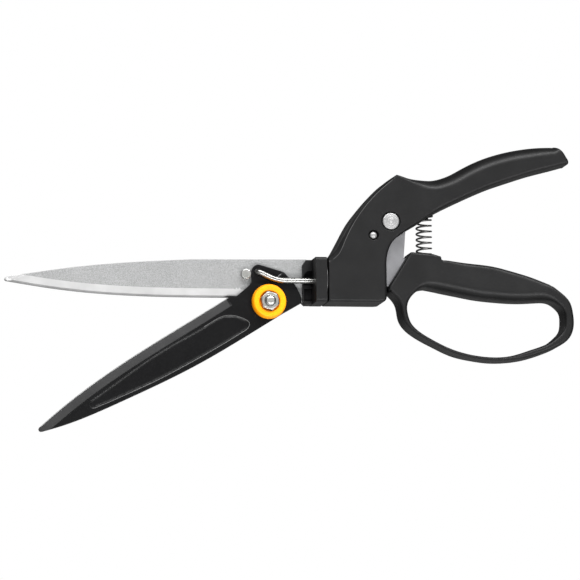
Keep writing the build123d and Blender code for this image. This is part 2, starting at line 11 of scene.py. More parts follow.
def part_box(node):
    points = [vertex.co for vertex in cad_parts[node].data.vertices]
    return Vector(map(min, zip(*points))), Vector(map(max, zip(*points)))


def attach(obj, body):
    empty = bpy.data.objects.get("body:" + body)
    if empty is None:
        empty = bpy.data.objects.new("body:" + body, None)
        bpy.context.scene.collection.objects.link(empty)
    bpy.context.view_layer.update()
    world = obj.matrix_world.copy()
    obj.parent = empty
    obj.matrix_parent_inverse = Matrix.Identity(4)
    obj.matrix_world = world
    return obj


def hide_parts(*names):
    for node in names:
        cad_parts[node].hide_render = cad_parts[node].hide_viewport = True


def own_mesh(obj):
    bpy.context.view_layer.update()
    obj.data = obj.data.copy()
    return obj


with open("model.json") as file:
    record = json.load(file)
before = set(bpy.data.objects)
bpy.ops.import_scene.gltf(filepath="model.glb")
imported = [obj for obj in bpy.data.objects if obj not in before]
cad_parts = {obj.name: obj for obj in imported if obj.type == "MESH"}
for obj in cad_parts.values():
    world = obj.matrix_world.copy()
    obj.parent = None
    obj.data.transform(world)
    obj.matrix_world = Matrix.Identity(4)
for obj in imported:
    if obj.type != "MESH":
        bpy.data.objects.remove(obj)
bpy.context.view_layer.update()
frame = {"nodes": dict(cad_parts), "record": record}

MM = 0.001
DATUM = 1.5  # the outlines' zero height over the lowest point, mm


# ------------------------------------------------------------------ curves and distances
def spline(points, step=0.8):
    """Natural cubic spline through 2-D points, sampled about every step."""
    p = np.array(points, float)
    t = np.concatenate([[0], np.cumsum(np.linalg.norm(np.diff(p, axis=0), axis=1))])
    n = len(p)
    h = np.diff(t)
    a = np.eye(n)
    b = np.zeros((n, 2))
    for i in range(1, n - 1):
        a[i, i - 1] = h[i - 1]
        a[i, i] = 2 * (h[i - 1] + h[i])
        a[i, i + 1] = h[i]
        b[i] = 6 * ((p[i + 1] - p[i]) / h[i] - (p[i] - p[i - 1]) / h[i - 1])
    m = np.linalg.solve(a, b)
    s = np.linspace(0, t[-1], max(3, int(t[-1] / step)))
    k = np.clip(np.searchsorted(t, s, side="right") - 1, 0, n - 2)
    u = (s - t[k])[:, None]
    hk = h[k][:, None]
    slope = (p[k + 1] - p[k]) / hk - hk * (2 * m[k] + m[k + 1]) / 6
    return p[k] + slope * u + m[k] / 2 * u**2 + (m[k + 1] - m[k]) / (6 * hk) * u**3


def arc(centre, radius, start, end, step=0.6):
    """Points of a circular arc, angles in degrees."""
    count = max(5, int(abs(math.radians(end - start)) * radius / step))
    a = np.radians(np.linspace(start, end, count))
    return np.stack([centre[0] + radius * np.cos(a), centre[1] + radius * np.sin(a)], 1)


def circle(centre, radius, count=64):
    """Points of a whole circle."""
    a = np.arange(count) * 2 * math.pi / count
    return np.stack([centre[0] + radius * np.cos(a), centre[1] + radius * np.sin(a)], 1)


def join(*runs, closed=True, step=0.8):
    """One polyline from runs of points, with long straight stretches divided."""
    out = []
    for run in runs:
        out += [tuple(q) for q in np.atleast_2d(np.array(run, float))]
    if closed:
        out.append(out[0])
    filled = []
    for a, b in zip(out[:-1], out[1:]):
        d = math.dist(a, b)
        if d < 0.02:
            continue
        count = max(1, round(d / step))
        for k in range(count):
            filled.append((a[0] + (b[0] - a[0]) * k / count, a[1] + (b[1] - a[1]) * k / count))
    if not closed:
        filled.append(out[-1])
    return np.array(filled)


def distance(points, line, closed=True):
    """Distance of each point to a polyline."""
    a = line if closed else line[:-1]
    b = np.roll(line, -1, axis=0) if closed else line[1:]
    ab = b - a
    length = np.maximum((ab**2).sum(1), 1e-12)
    best = np.full(len(points), 1e9)
    for first in range(0, len(points), 2000):
        p = points[first : first + 2000]
        ap = p[:, None, :] - a[None]
        t = np.clip((ap * ab[None]).sum(2) / length, 0, 1)
        d = ap - t[..., None] * ab[None]
        best[first : first + 2000] = np.sqrt((d**2).sum(2).min(1))
    return best


def inside(points, loops):
    """Even-odd test against closed loops."""
    odd = np.zeros(len(points), bool)
    for loop in loops:
        a = loop
        b = np.roll(loop, -1, axis=0)
        dz = np.where(b[:, 1] == a[:, 1], 1e-12, b[:, 1] - a[:, 1])
        slope = (b[:, 0] - a[:, 0]) / dz
        for first in range(0, len(points), 4000):
            x = points[first : first + 4000, 0:1]
            z = points[first : first + 4000, 1:2]
            cross = (a[None, :, 1] > z) != (b[None, :, 1] > z)
            at = a[None, :, 0] + (z - a[None, :, 1]) * slope[None]
            odd[first : first + 4000] ^= ((cross & (x < at)).sum(1) % 2).astype(bool)
    return odd


def offset_line(line, amount):
    """Open polyline moved sideways, to its left when amount is positive."""
    side = np.gradient(line, axis=0)
    side /= np.maximum(np.linalg.norm(side, axis=1)[:, None], 1e-9)
    return line + amount * np.stack([-side[:, 1], side[:, 0]], 1)


def beyond(p, start, end):
    """Distance to the right of the line from start to end."""
    dx, dz = end[0] - start[0], end[1] - start[1]
    return ((p[:, 0] - start[0]) * dz - (p[:, 1] - start[1]) * dx) / math.hypot(dx, dz)


def grow(loop, amount):
    """Closed clockwise loop moved outwards."""
    side = np.roll(loop, -1, axis=0) - np.roll(loop, 1, axis=0)
    side /= np.maximum(np.linalg.norm(side, axis=1)[:, None], 1e-9)
    return loop + amount * np.stack([-side[:, 1], side[:, 0]], 1)


def from_centre(p, centre):
    """Distance of each point to one centre."""
    return np.hypot(p[:, 0] - centre[0], p[:, 1] - centre[1])


def ease(value, low, high):
    """0 below low and 1 above high, with a smooth change between."""
    t = np.clip((value - low) / (high - low), 0, 1)
    return t * t * (3 - 2 * t)


def roll(d, width, power=2.0):
    """Rounded edge, 0 at the edge and 1 from width inwards."""
    u = 1 - np.clip(d / width, 0, 1)
    return (1 - u**power) ** (1 / power)


# ------------------------------------------------------------------ meshes
def flat_mesh(loops, creases=(), rings=(), spacing=1.2):
    """Triangles inside closed loops, with rows of points along the edges, crease lines and a grid."""
    verts = []
    edges = []
    for line, closed in [(loop, True) for loop in loops] + list(creases):
        base = len(verts)
        verts.extend(map(tuple, line))
        edges += [(base + i, base + i + 1) for i in range(len(line) - 1)]
        if closed:
            edges.append((base + len(line) - 1, base))
    free = []
    for loop in loops:
        side = np.roll(loop, -1, axis=0) - np.roll(loop, 1, axis=0)
        normal = np.stack([-side[:, 1], side[:, 0]], 1)
        normal /= np.maximum(np.linalg.norm(normal, axis=1)[:, None], 1e-9)
        for depth in rings:
            for sign in (1, -1):
                q = loop + normal * depth * sign
                q = q[inside(q, loops)]
                if len(q):
                    near = np.min([distance(q, other) for other in loops], axis=0)
                    free.append(q[near > depth * 0.985])
    low = np.min([loop.min(0) for loop in loops], axis=0)
    high = np.max([loop.max(0) for loop in loops], axis=0)
    xs = np.arange(low[0], high[0], spacing)
    zs = np.arange(low[1], high[1], spacing * 0.866)
    grid = np.array([(x + (k % 2) * spacing / 2, z) for k, z in enumerate(zs) for x in xs])
    grid = grid[inside(grid, loops)]
    near = np.min([distance(grid, loop) for loop in loops], axis=0)
    free.append(grid[near > (max(rings) if rings else 0) + spacing * 0.5])
    fill = np.concatenate(free)
    for line, closed in creases:
        fill = fill[distance(fill, line, closed) > 0.12]
    verts.extend(map(tuple, fill))
    got, _, faces, *_ = delaunay_2d_cdt([Vector(v) for v in verts], edges, [], 0, 1e-5)
    points = np.array([tuple(v) for v in got])
    tris = np.array([f for f in faces if len(f) == 3])
    return points, tris[inside(points[tris].mean(1), loops)]


def finish_mesh(name, mesh, angle=32):
    """Object with a clean mesh, smooth except where faces meet at more than the angle."""
    work = bmesh.new()
    work.from_mesh(mesh)
    bmesh.ops.remove_doubles(work, verts=work.verts, dist=1e-7)
    bmesh.ops.delete(work, geom=[v for v in work.verts if not v.link_faces], context="VERTS")
    bmesh.ops.recalc_face_normals(work, faces=work.faces)
    work.to_mesh(mesh)
    work.free()
    mesh.polygons.foreach_set("use_smooth", [True] * len(mesh.polygons))
    mesh.set_sharp_from_angle(angle=math.radians(angle))
    piece = bpy.data.objects.new(name, mesh)
    bpy.context.scene.collection.objects.link(piece)
    return piece


def two_sided(name, points, tris, front, back, materials, pick=None, angle=32):
    """Closed solid over a flat mesh, its near face at y = front and its far face at y = back.
    pick gives the material number of the near face's triangles from their centres."""
    count = len(points)
    a, b, c = (points[tris[:, k]] for k in range(3))
    area = (b[:, 0] - a[:, 0]) * (c[:, 1] - a[:, 1]) - (b[:, 1] - a[:, 1]) * (c[:, 0] - a[:, 0])
    tris = np.where(area[:, None] > 0, tris, tris[:, ::-1])
    near = np.stack([points[:, 0], front, points[:, 1] + DATUM], 1)
    far = np.stack([points[:, 0], back, points[:, 1] + DATUM], 1)
    directed = {(int(t[k]), int(t[(k + 1) % 3])) for t in tris for k in range(3)}
    rim = [e for e in directed if (e[1], e[0]) not in directed]
    faces = [tuple(int(i) for i in t) for t in tris]
    faces += [tuple(int(i) + count for i in t[::-1]) for t in tris]
    faces += [(e[1], e[0], e[0] + count, e[1] + count) for e in sorted(rim)]
    mesh = bpy.data.meshes.new(name)
    mesh.from_pydata((np.concatenate([near, far]) * MM).tolist(), [], faces)
    for material in materials:
        mesh.materials.append(material)
    if pick is not None:
        index = np.zeros(len(faces), int)
        index[: len(tris)] = pick(points[tris].mean(1))
        mesh.polygons.foreach_set("material_index", index)
    return finish_mesh(name, mesh, angle)


def turned(name, profile, centre, material, turns=96, start=0.0, angle=32):
    """Solid turned about the line along y through centre (x, z), from (radius, y) points.
    A radius or a y may be an array over the turn."""
    turn = np.radians(start) + np.arange(turns) * 2 * math.pi / turns
    verts = []
    rows = []
    for radius, y in profile:
        count = 1 if np.max(radius) < 1e-6 else turns
        r = np.broadcast_to(radius, turns)
        y = np.broadcast_to(y, turns)
        rows.append(list(range(len(verts), len(verts) + count)))
        for k in range(count):
            x = centre[0] + r[k] * math.cos(turn[k])
            z = centre[1] + r[k] * math.sin(turn[k]) + DATUM
            verts.append((x * MM, y[k] * MM, z * MM))
    faces = []
    for upper, lower in zip(rows[:-1], rows[1:]):
        for k in range(turns):
            j = (k + 1) % turns
            quad = [upper[k % len(upper)], upper[j % len(upper)]]
            quad += [lower[j % len(lower)], lower[k % len(lower)]]
            quad = list(dict.fromkeys(quad))
            if len(quad) > 2:
                faces.append(quad)
    mesh = bpy.data.meshes.new(name)
    mesh.from_pydata(verts, [], faces)
    mesh.materials.append(material)
    return finish_mesh(name, mesh, angle)


def place(piece, body, slot, *nodes):
    """Piece rides on a body and stands for CAD nodes; slot is not used."""
    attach(piece, body)
    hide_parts(*nodes)


# ------------------------------------------------------------------ materials
EDGE = 0.35  # radius of the rounded edges, which are painted lighter as a highlight, mm


def noise(tree, scale, detail, stretch=(1, 1, 1)):
    """Noise fixed to the object, scale in cells per metre."""
    where = tree.nodes.new("ShaderNodeTexCoord")
    shift = tree.nodes.new("ShaderNodeMapping")
    shift.inputs["Scale"].default_value = stretch
    tree.links.new(where.outputs["Object"], shift.inputs["Vector"])
    texture = tree.nodes.new("ShaderNodeTexNoise")
    texture.inputs["Scale"].default_value = scale
    texture.inputs["Detail"].default_value = detail
    tree.links.new(shift.outputs["Vector"], texture.inputs["Vector"])
    return texture.outputs["Fac"]


def ramp(tree, source, low, high, low_colour, high_colour):
    """Colour between two colours, as the source goes from low to high."""
    node = tree.nodes.new("ShaderNodeValToRGB")
    node.color_ramp.elements[0].position = low
    node.color_ramp.elements[1].position = high
    node.color_ramp.elements[0].color = (*low_colour, 1)
    node.color_ramp.elements[1].color = (*high_colour, 1)
    tree.links.new(source, node.inputs["Fac"])
    return node.outputs["Color"]


def spread(tree, source, low, high, start, end):
    """Value from low to high, as the source goes from start to end."""
    node = tree.nodes.new("ShaderNodeMapRange")
    node.inputs["From Min"].default_value = start
    node.inputs["From Max"].default_value = end
    node.inputs["To Min"].default_value = low
    node.inputs["To Max"].default_value = high
    tree.links.new(source, node.inputs["Value"])
    return node.outputs["Result"]


def blend(tree, factor, first, second, mode="MIX"):
    """Mix of two colours, factor and second given as a socket or a value."""
    node = tree.nodes.new("ShaderNodeMix")
    node.data_type = "RGBA"
    node.blend_type = mode
    tree.links.new(first, node.inputs[6])
    for source, socket in ((factor, node.inputs["Factor"]), (second, node.inputs[7])):
        if isinstance(source, bpy.types.NodeSocket):
            tree.links.new(source, socket)
        else:
            socket.default_value = source
    return node.outputs[2]


def edge_mask(tree):
    """1 along edges and corners, 0 on flat faces, and the normal rounded there."""
    worn = tree.nodes.new("ShaderNodeBevel")
    worn.samples = 4
    worn.inputs["Radius"].default_value = EDGE * MM
    plain = tree.nodes.new("ShaderNodeNewGeometry")
    dot = tree.nodes.new("ShaderNodeVectorMath")
    dot.operation = "DOT_PRODUCT"
    tree.links.new(worn.outputs["Normal"], dot.inputs[0])
    tree.links.new(plain.outputs["Normal"], dot.inputs[1])
    return spread(tree, dot.outputs["Value"], 0.0, 1.0, 0.995, 0.8), worn.outputs["Normal"]


def surface(name, dark, light, rough, metal=0.0, grain=900.0, depth=0.03, patch=60.0, edge=None,
            stretch=(1, 1, 1), specular=0.5, speckle=None, recess=None):
    """Material with patchy colour, fine grain, uneven roughness and a painted highlight that lightens its
    edges.
    grain and patch are noise scales, depth is the grain's height in mm, speckle its contrast,
    and in hollows narrower than recess mm an ambient occlusion node dims the specular: painted shade."""
    material = bpy.data.materials.new(name)
    material.use_nodes = True
    tree = material.node_tree
    shader = tree.nodes["Principled BSDF"]
    broad = noise(tree, patch, 4.0)
    fine = noise(tree, grain, 2.0, stretch)
    colour = ramp(tree, broad, 0.35, 0.7, dark, light)
    if speckle:
        shade = ramp(tree, fine, 0.38, 0.62, (1 - speckle,) * 3, (1 + speckle * 0.4,) * 3)
        colour = blend(tree, 1.0, colour, shade, "MULTIPLY")
    normal = None
    if edge:
        # painted highlight: edges and corners take the lighter edge colour
        edge_highlight_mask, normal = edge_mask(tree)
        colour = blend(tree, edge_highlight_mask, colour, (*edge, 1))
    tree.links.new(colour, shader.inputs["Base Color"])
    tree.links.new(spread(tree, fine, rough[0], rough[1], 0.3, 0.7), shader.inputs["Roughness"])
    shader.inputs["Metallic"].default_value = metal
    gloss = shader.inputs["Specular IOR Level"]
    gloss.default_value = specular
    if recess:
        # painted shade: ambient occlusion turns the specular level down in hollows, darkening them
        shade = tree.nodes.new("ShaderNodeAmbientOcclusion")
        shade.samples = 8
        shade.inputs["Distance"].default_value = recess * MM
        shade.inputs["Color"].default_value = (1, 1, 1, 1)
        tree.links.new(spread(tree, shade.outputs["AO"], 0.0, specular, 0.35, 0.85), gloss)
    for source, strength, height in ((broad, 0.15, depth * 3), (fine, 0.6, depth)):
        node = tree.nodes.new("ShaderNodeBump")
        node.inputs["Strength"].default_value = strength
        node.inputs["Distance"].default_value = height * MM
        tree.links.new(source, node.inputs["Height"])
        if normal:
            tree.links.new(normal, node.inputs["Normal"])
        normal = node.outputs["Normal"]
    tree.links.new(normal, shader.inputs["Normal"])
    return material


# the edge colours are lighter than the faces: painted highlights along edges and corners
nylon = surface("black_nylon", (0.0042, 0.0042, 0.0044), (0.0066, 0.0066, 0.0068), (0.4, 0.5),
                grain=1200.0, depth=0.05, patch=70.0, edge=(0.016, 0.016, 0.0165), specular=0.22,
                recess=5.0)
# lighter nylon for the line along the slope's crease: a painted highlight
crease_highlight_nylon = surface("crease_highlight_nylon", (0.05, 0.05, 0.05), (0.085, 0.085, 0.085), (0.4, 0.5),
                     grain=1500.0, depth=0.03, patch=70.0, specular=0.25)
coating = surface("black_coating", (0.0028, 0.0028, 0.0031), (0.0044, 0.0044, 0.0047), (0.3, 0.4),
                  grain=700.0, depth=0.008, patch=45.0, edge=(0.03, 0.03, 0.03), specular=0.12)
bevel_grey = surface("ground_black", (0.015, 0.015, 0.0155), (0.022, 0.022, 0.0225), (0.5, 0.62),
                     metal=0.1, grain=1200.0, depth=0.01, patch=80.0, specular=0.25)
# bright metal for the honed cutting edge, also painted on the seat's side as a highlight
honed = surface("honed_edge_and_step_highlight", (0.5, 0.5, 0.5), (0.6, 0.6, 0.6), (0.3, 0.4), metal=0.7,
                grain=1500.0, depth=0.006, patch=90.0)
# lighter coating for the panel's border: a painted highlight
border_highlight_coating = surface("border_highlight_coating", (0.07, 0.07, 0.07), (0.11, 0.11, 0.11), (0.35, 0.45),
                       grain=900.0, depth=0.008, patch=60.0)
blasted = surface("blasted_steel", (0.25, 0.253, 0.253), (0.275, 0.278, 0.278), (0.5, 0.62),
                  metal=0.3, grain=2000.0, depth=0.03, patch=30.0, speckle=0.3)
ground = surface("ground_steel", (0.39, 0.39, 0.39), (0.45, 0.45, 0.45), (0.3, 0.42), metal=0.3,
                 grain=1500.0, depth=0.006, patch=90.0, stretch=(0.08, 1, 1))
facet = surface("edge_facet", (0.26, 0.26, 0.26), (0.33, 0.33, 0.33), (0.28, 0.4), metal=0.8,
                grain=1500.0, depth=0.006, patch=90.0, stretch=(0.3, 1, 1))
orange = surface("orange_plastic", (1.0, 0.31, 0.003), (1.0, 0.37, 0.004), (0.35, 0.45), grain=900.0,
                 depth=0.01, patch=50.0, edge=(1.0, 0.5, 0.03), specular=0.15)
chrome = surface("chrome_rod", (0.24, 0.24, 0.23), (0.31, 0.31, 0.30), (0.24, 0.32), metal=1.0,
                 grain=600.0, depth=0.004, patch=60.0)
zinc = surface("zinc_steel", (0.42, 0.42, 0.40), (0.54, 0.54, 0.52), (0.26, 0.36), metal=1.0,
               grain=1800.0, depth=0.01, patch=200.0, edge=(0.85, 0.86, 0.87))
rivet = surface("rivet_steel", (0.27, 0.27, 0.27), (0.33, 0.33, 0.33), (0.34, 0.46), metal=0.5,
                grain=1800.0, depth=0.01, patch=200.0, edge=(0.62, 0.62, 0.62))
plate = surface("plate_steel", (0.26, 0.26, 0.27), (0.32, 0.32, 0.335), (0.4, 0.52), metal=0.5,
                grain=1400.0, depth=0.015, patch=120.0, edge=(0.5, 0.5, 0.5))
wire = surface("spring_wire", (0.07, 0.07, 0.07), (0.11, 0.11, 0.11), (0.3, 0.42), metal=0.9,
               grain=2500.0, depth=0.01, patch=300.0)
bearing = surface("bearing_plastic", (0.02, 0.02, 0.02), (0.03, 0.03, 0.03), (0.4, 0.5), grain=900.0,
                  depth=0.01)

slots = {
    "black_nylon": nylon,
    "black_coating": coating,
    "blasted_steel": blasted,
    "orange_plastic": orange,
    "chrome_rod": chrome,
    "zinc_steel": zinc,
    "bright_steel": zinc,
    "rivet_steel": rivet,
    "plate_steel": plate,
    "spring_steel": wire,
    "bearing_plastic": bearing,
}

for entry in frame["record"]["subparts"]:
    for holder in frame["nodes"][entry["node"]].material_slots:
        holder.material = slots[entry["material_slot"]]

# ------------------------------------------------------------------ case and upper handle
HALF = 13.45  # half thickness of the case
WALL = 2.6
AXIS_Z = 89.4  # swivel axis
CASE_X = 20.6
CASE_BACK = 55.5
CASE_LOW = 75.6
LEVER = (58.3, 124.0)
STOP = (47.8, 115.6)
SCREWS = (
    (32.4, 79.2), (51.0, 79.2), (46.5, 133.5), (88.0, 141.4), (118.0, 154.8), (148.0, 162.4),
)
SPRING_X = 80.4
SEAT_Z = 129.4  # top of the return spring's seat
SEAM = 0.03  # half of the hairline between the halves
FULL = 0.93  # share of the thickness that a handle's rounding takes
BEVEL_DROP = 2.2  # depth of the bevel along the slope's outer edge
BORE = 10.65  # radius of the swivel bearing's seat
FRONT_BACK = 24.2  # rear face of the front wall
SLOT_HALF = 2.1  # half width of the slot the lever plate swings in
BOSSES = ((LEVER, 7.0), (STOP, 4.0))  # centre and radius
BOSS_FACE = 1.8  # distance of their inner faces from the middle
SCREW_BOSS = 3.0
POCKET = 6.2  # radius of the spring's pocket
ON_LINE = 0.02  # points nearer than this to a line count as on it

slope_line = spline(
    [(CASE_X, 102.2), (23.35, 104.15), (25.95, 107.95), (29.65, 114.75), (32.75, 120.55), (35.75, 125.45),
     (39.75, 130.65), (44.65, 136.55), (50.58, 142.85), (55.34, 147.25), (59.46, 150.15), (62.2, 151.9)]
)
back_line = spline(
    [(62.2, 151.9), (64.6, 151.2), (69.79, 149.9), (77.56, 149.5), (83.94, 149.7), (90.3, 151.1),
     (96.3, 153.5), (102.3, 156.8), (114.3, 162.63), (126.55, 166.67), (139.03, 169.32), (151.51, 170.65),
     (158.27, 170.8)]
)
end_line = spline(
    [(158.27, 170.8), (160.98, 169.7), (163.68, 167.6), (165.97, 164.2), (167.22, 161.6), (166.9, 160.3),
     (165.34, 159.6)], 0.5
)
under_line = spline(
    [(165.34, 159.6), (157.75, 157.5), (145.27, 154.21), (132.79, 150.2), (120.31, 145.9), (108.3, 140.8),
     (96.3, 135.2), (84.3, 128.9), (76.2, 123.8), (69.6, 119.86), (64.8, 116.4)]
)
heel_line = spline(
    [(64.8, 116.4), (60.8, 113.4), (58.1, 109.8), (56.5, 105.6), (CASE_BACK + 0.1, 100.5),
     (CASE_BACK, 95.0)]
)
corner = arc((CASE_BACK - 3.2, CASE_LOW + 3.2), 3.2, 0, -90)
front_low = (CASE_X + 0.4, CASE_LOW)
case_loop = join(
    slope_line, back_line[1:], end_line[1:], under_line[1:], heel_line[1:], corner,
    [front_low, (CASE_X, CASE_LOW + 0.4)],
)
crease_line = spline(
    [(CASE_X + 0.15, 99.0), (22.8, 100.5), (25.4, 102.5), (27.5, 105.2), (29.7, 110.0), (33.0, 117.2),
     (38.3, 126.2), (44.5, 134.5), (51.6, 142.0), (57.5, 147.1), (62.2, 150.9)]
)
strip = np.concatenate([crease_line, slope_line[::-1]])
bottom_line = join(corner[-1:], [front_low], closed=False)
rear_line = join(heel_line, corner, closed=False)
front_line = join([(CASE_X, CASE_LOW + 0.4), (CASE_X, 102.2)], closed=False)
slot_area = join(
    [(50.0, 84.0), (58.0, 84.0), (62.0, 100.0), (73.0, 112.0), (73.0, 125.5), (64.0, 124.0),
     (50.0, 118.0)]
)


def case_height(p):
    """Distance of the case's outer surface from its middle plane."""
    x = p[:, 0]
    width = np.interp(
        x, [20, 66, 78, 90, 102, 114, 126, 138, 150, 160, 166],
        [HALF, 13.4, 13.1, 12.7, 12.3, 11.9, 11.5, 11.1, 10.7, 10.2, 9.9],
    )
    grip = ease(x, 62, 88)
    tip = ease(x, 140, 164)
    height = np.ones(len(p))
    d_slope = distance(p, slope_line, False)
    d_crease = distance(p, crease_line, False)
    in_strip = inside(p, [strip]) | (d_slope < ON_LINE)
    t = np.where(in_strip, d_slope / np.maximum(d_slope + d_crease, 1e-6), 1)
    height *= 1 - BEVEL_DROP * (1 - t) * (1 - ease(x, 58.5, 62.0)) / width
    height *= 1 - 0.5 / width * (1 - roll(d_slope, 0.5))
    edges = (
        (front_line, 0.45, 0.45, 2.0),
        (bottom_line, 1.5, 1.5, 2.0),
        (rear_line, 1.9, 1.9, 2.0),
        (back_line, 0.8 + 7.2 * grip - 3.0 * tip, 0.8 + (FULL * width - 0.8) * grip, 2.2),
        (under_line, 1.9 + 0.5 * grip, 1.9 + 2.6 * ease(x, 66, 96), 2.2),
        (end_line, 1.3, 1.3, 2.0),
    )
    for line, wide, deep, power in edges:
        d = distance(p, line, False)
        height *= 1 - deep / width * (1 - roll(d, wide, power))
    ridge = distance(p, back_line, False) - 6.5
    height *= 1 - 0.11 * grip * np.clip(ridge / 12, 0, 1)
    return width * height


def case_inner(p, height):
    """Distance of the case's inner surface from its middle plane."""
    x, z = p[:, 0], p[:, 1]
    d = distance(p, case_loop)
    inner = np.where(d > WALL, np.maximum(height - WALL, SEAM), SEAM)
    bore = np.sqrt(np.maximum(BORE**2 - (z - AXIS_Z) ** 2, SEAM**2))
    inner = np.where(x < FRONT_BACK, bore, inner)
    inner = np.where((d <= WALL) & inside(p, [slot_area]), SLOT_HALF, inner)
    for centre, radius in BOSSES:
        inner = np.where(from_centre(p, centre) < radius, BOSS_FACE, inner)
    for centre in SCREWS:
        inner = np.where(from_centre(p, centre) < SCREW_BOSS, SEAM, inner)
    pocket = np.sqrt(np.maximum(POCKET**2 - (x - SPRING_X) ** 2, SEAM**2))
    inner = np.where((np.abs(x - SPRING_X) < POCKET) & (z < SEAT_Z), pocket, inner)
    return np.minimum(inner, height - 0.3)


# recesses round the rivets and screws: radii, and distance of their floors from the middle
RIVET_SINK = 5.6
STOP_SINK = 3.0
SCREW_SINK = 2.7
RIVET_FLOOR = 12.3
STOP_FLOOR = 11.4
SCREW_DEPTH = 2.2
LIP = 0.35  # width and height of their rounded lips
rivet_rings = [
    (circle(centre, radius + extra), True)
    for centre, radius in ((LEVER, RIVET_SINK), (STOP, STOP_SINK))
    for extra in (-0.12, 0.0, LIP)
]
screw_rings = [
    (circle(centre, SCREW_SINK + extra, 40), True) for centre in SCREWS for extra in (-0.1, 0.0, 0.25)
]
wall_line = join([(24.15, CASE_LOW + 0.9), (24.15, 101.0)], closed=False)
inner_crease = crease_line[2:-3]
CREASE_HIGHLIGHT_HALF = 0.16  # half width of the painted highlight line along the slope's crease
crease_highlight_line = join(
    offset_line(crease_line, CREASE_HIGHLIGHT_HALF)[4:-4], offset_line(crease_line, -CREASE_HIGHLIGHT_HALF)[4:-4][::-1]
)
case_points, case_tris = flat_mesh(
    [case_loop],
    creases=[(inner_crease, False), (crease_highlight_line, True), (wall_line, False)] + rivet_rings + screw_rings,
    rings=(0.07, 0.2, 0.42, 0.75, 1.15, 1.65, 2.2, 2.55, 2.66, 3.5, 4.5, 5.6),
    spacing=1.05,
)
outer = case_height(case_points)
inner = case_inner(case_points, outer)


def sink(height, centre, radius, level):
    """Outer surface of the case with a round flat recess that has a rounded lip."""
    d = from_centre(case_points, centre)
    lip = LIP * (1 - roll(np.maximum(d - radius, 0), LIP))
    height = np.where(d < radius + LIP + 0.01, height - lip, height)
    return np.where(d < radius - 0.05, np.minimum(level, height), height)


near_height = sink(sink(outer, LEVER, RIVET_SINK, RIVET_FLOOR), STOP, STOP_SINK, STOP_FLOOR)
far_height = near_height
for centre in SCREWS:
    level = float(outer[np.argmin(from_centre(case_points, centre))]) - SCREW_DEPTH
    far_height = sink(far_height, centre, SCREW_SINK, level)
# the line along the crease takes the lighter nylon, a painted highlight
case_near = two_sided(
    "case_shell_near", case_points, case_tris, -near_height, -inner, [nylon, crease_highlight_nylon],
    lambda c: inside(c, [crease_highlight_line]).astype(int),
)
case_far = two_sided("case_shell_far", case_points, case_tris, inner, far_height, [nylon])
place(case_near, "handle_body", "black_nylon", "case_near")
place(case_far, "handle_body", "black_nylon", "case_far")

# ------------------------------------------------------------------ finger loop
loop_top = spline(
    [(87.9, 104.0), (89.0, 103.6), (89.4, 101.9), (91.0, 101.6), (95.1, 101.3), (108.3, 99.8),
     (120.3, 98.4), (132.3, 95.5), (144.3, 91.9), (156.3, 87.1)], 0.7
)
loop_right = spline(
    [(156.3, 87.1), (161.6, 83.1), (166.9, 77.4), (168.7, 71.0), (169.2, 65.4), (168.4, 59.9),
     (166.2, 55.6), (162.4, 52.3), (150.9, 46.9), (139.2, 43.4), (128.0, 41.9), (119.5, 41.8),
     (109.5, 43.0), (97.5, 45.7), (85.5, 51.1), (73.0, 58.1), (67.5, 63.2), (65.3, 67.6),
     (63.7, 75.4), (61.2, 79.4), (57.6, 82.8)], 0.7
)
loop_boss = join(
    [(56.9, 84.3), (69.7, 104.7)], arc((71.6, 104.4), 1.8, 170, 95), [(84.3, 105.3), (87.2, 104.5)],
    closed=False,
)
grip_outer = join(loop_right, loop_boss, loop_top)
grip_inner = join(
    spline(
        [(80.1, 84.8), (90.3, 82.5), (99.3, 80.8), (109.5, 78.9), (121.5, 77.6), (136.0, 76.9),
         (149.5, 77.6), (156.0, 77.3), (160.3, 75.0), (163.1, 71.6), (163.6, 67.4), (162.5, 60.6),
         (159.6, 57.2), (154.0, 52.9), (142.6, 48.4), (130.9, 44.8), (118.6, 43.9), (106.6, 45.3),
         (94.6, 48.7), (82.6, 54.5), (75.9, 58.6), (70.6, 64.1), (68.9, 68.7), (68.4, 73.1),
         (69.5, 77.4), (74.0, 82.6), (77.0, 84.4), (80.1, 84.8)], 0.7
    )[:-1]
)
bar_top = join(loop_top[6:], closed=False)
GRIP_HALF = 9.9
STRAP_EDGE = 2.3  # depth of the rounding along the strap's edges


def grip_height(p):
    """Distance of the finger loop's surface from its middle plane."""
    x, z = p[:, 0], p[:, 1]
    bar = ease(x, 70, 88) * (1 - ease(x, 148, 163)) * ease(z, 60, 74)
    d_hole = distance(p, grip_inner)
    d_top = distance(p, bar_top, False)
    d_side = distance(p, loop_right, False)
    d_boss = distance(p, loop_boss, False)
    rounded = ease(x, 88, 108) * (1 - ease(x, 150, 164))
    left = 1 - ease(x, 66, 80)
    rim = 1.95 + 0.2 * left
    edges = (
        (d_hole, rim + (6.0 - rim) * bar, STRAP_EDGE + (FULL * GRIP_HALF - STRAP_EDGE) * bar, 2.2),
        (d_top, 1.3 + 1.3 * rounded, 1.4 + 2.0 * rounded, 2.2),
        (d_side, rim, STRAP_EDGE, 2.0),
        (d_boss, 1.5, 1.5, 2.0),
    )
    height = 1 - 0.10 * bar * np.clip((d_hole - 6.0) / 12, 0, 1)
    for d, wide, deep, power in edges:
        height *= 1 - deep / GRIP_HALF * (1 - roll(d, wide, power))
    return GRIP_HALF * height


grip_points, grip_tris = flat_mesh(
    [grip_outer, grip_inner],
    rings=(0.07, 0.2, 0.42, 0.75, 1.15, 1.55, 1.9, 2.6, 3.6, 4.6),
    spacing=1.0,
)
grip_level = grip_height(grip_points)
grip = two_sided("finger_loop", grip_points, grip_tris, -grip_level, grip_level, [nylon])
place(grip, "lever", "black_nylon", "loop_grip")

